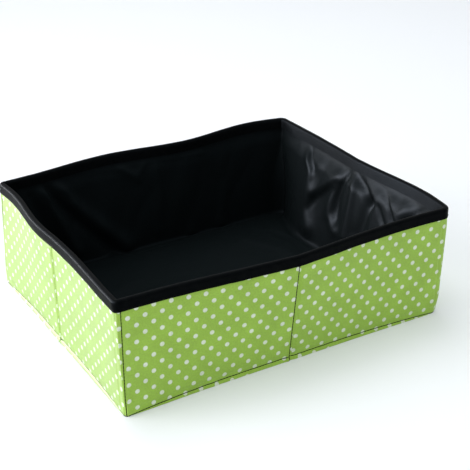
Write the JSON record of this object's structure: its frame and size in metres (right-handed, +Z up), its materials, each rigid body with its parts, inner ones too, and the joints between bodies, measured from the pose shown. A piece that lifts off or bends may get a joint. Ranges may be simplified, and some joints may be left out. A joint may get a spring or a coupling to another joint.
{
  "type": "foldable litter box",
  "caption": "Soft open tray of dotted cloth over stiff boards with a black liner; its short walls fold inwards so that it packs flat.",
  "frame": {"origin": "middle of the flat underside, halfway between the outer faces of opposite walls", "axes": "+X along the long walls, +Y from the bowed front wall to the back wall, +Z up"},
  "size_m": [0.3922, 0.3461, 0.13],
  "materials": {
    "printed_cloth": "matte",
    "stiffener_board": "matte",
    "backing_cloth": "matte",
    "liner_cloth": "satin",
    "binding_tape": "matte",
    "bottom_cloth": "matte"
  },
  "bodies": {
    "front": {"cover_front": "printed_cloth", "board_front_left": "stiffener_board", "board_front_right": "stiffener_board", "backing_front": "backing_cloth", "rim_tape_front": "binding_tape", "liner_front": "liner_cloth", "liner_floor": "liner_cloth", "bottom_cloth": "bottom_cloth"},
    "right_front": {"cover_right_front": "printed_cloth", "board_right_front": "stiffener_board", "backing_right_front": "backing_cloth", "rim_tape_right_front": "binding_tape", "liner_right_front": "liner_cloth"},
    "right_back": {"cover_right_back": "printed_cloth", "board_right_back": "stiffener_board", "backing_right_back": "backing_cloth", "rim_tape_right_back": "binding_tape", "liner_right_back": "liner_cloth"},
    "back_right": {"cover_back_right": "printed_cloth", "board_back_right": "stiffener_board", "backing_back_right": "backing_cloth", "rim_tape_back_right": "binding_tape", "liner_back_right": "liner_cloth"},
    "left_front": {"cover_left_front": "printed_cloth", "board_left_front": "stiffener_board", "backing_left_front": "backing_cloth", "rim_tape_left_front": "binding_tape", "liner_left_front": "liner_cloth"},
    "left_back": {"cover_left_back": "printed_cloth", "board_left_back": "stiffener_board", "backing_left_back": "backing_cloth", "rim_tape_left_back": "binding_tape", "liner_left_back": "liner_cloth"},
    "back_left": {"cover_back_left": "printed_cloth", "board_back_left": "stiffener_board", "backing_back_left": "backing_cloth", "rim_tape_back_left": "binding_tape", "liner_back_left": "liner_cloth"}
  },
  "joints": [
    {"name": "fold", "type": "hinge", "parent": "front", "child": "right_front", "pos_m": [0.185, -0.1525, 0], "axis": [0, 0, 1], "range_deg": [0, 90], "deforming": ["liner_front", "liner_back_right", "liner_back_left", "liner_right_front", "liner_right_back", "liner_left_front", "liner_left_back", "liner_floor", "bottom_cloth"]},
    {"name": "right_middle_fold", "type": "hinge", "parent": "right_front", "child": "right_back", "pos_m": [0.1967, 0, 0], "axis": [0, 0, -1], "range_deg": [0, 180]},
    {"name": "back_right_corner_fold", "type": "hinge", "parent": "right_back", "child": "back_right", "pos_m": [0.185, 0.1525, 0], "axis": [0, 0, 1], "range_deg": [0, 90]},
    {"name": "front_left_corner_fold", "type": "hinge", "parent": "front", "child": "left_front", "pos_m": [-0.185, -0.1525, 0], "axis": [0, 0, -1], "range_deg": [0, 90]},
    {"name": "left_middle_fold", "type": "hinge", "parent": "left_front", "child": "left_back", "pos_m": [-0.1967, 0, 0], "axis": [0, 0, 1], "range_deg": [0, 180]},
    {"name": "back_left_corner_fold", "type": "hinge", "parent": "left_back", "child": "back_left", "pos_m": [-0.185, 0.1525, 0], "axis": [0, 0, -1], "range_deg": [0, 90]}
  ],
  "couplings": [
    {"joint": "right_middle_fold", "follows": "fold", "ratio": 2},
    {"joint": "back_right_corner_fold", "follows": "fold", "ratio": 1},
    {"joint": "front_left_corner_fold", "follows": "fold", "ratio": 1},
    {"joint": "left_middle_fold", "follows": "fold", "ratio": 2},
    {"joint": "back_left_corner_fold", "follows": "fold", "ratio": 1}
  ]
}
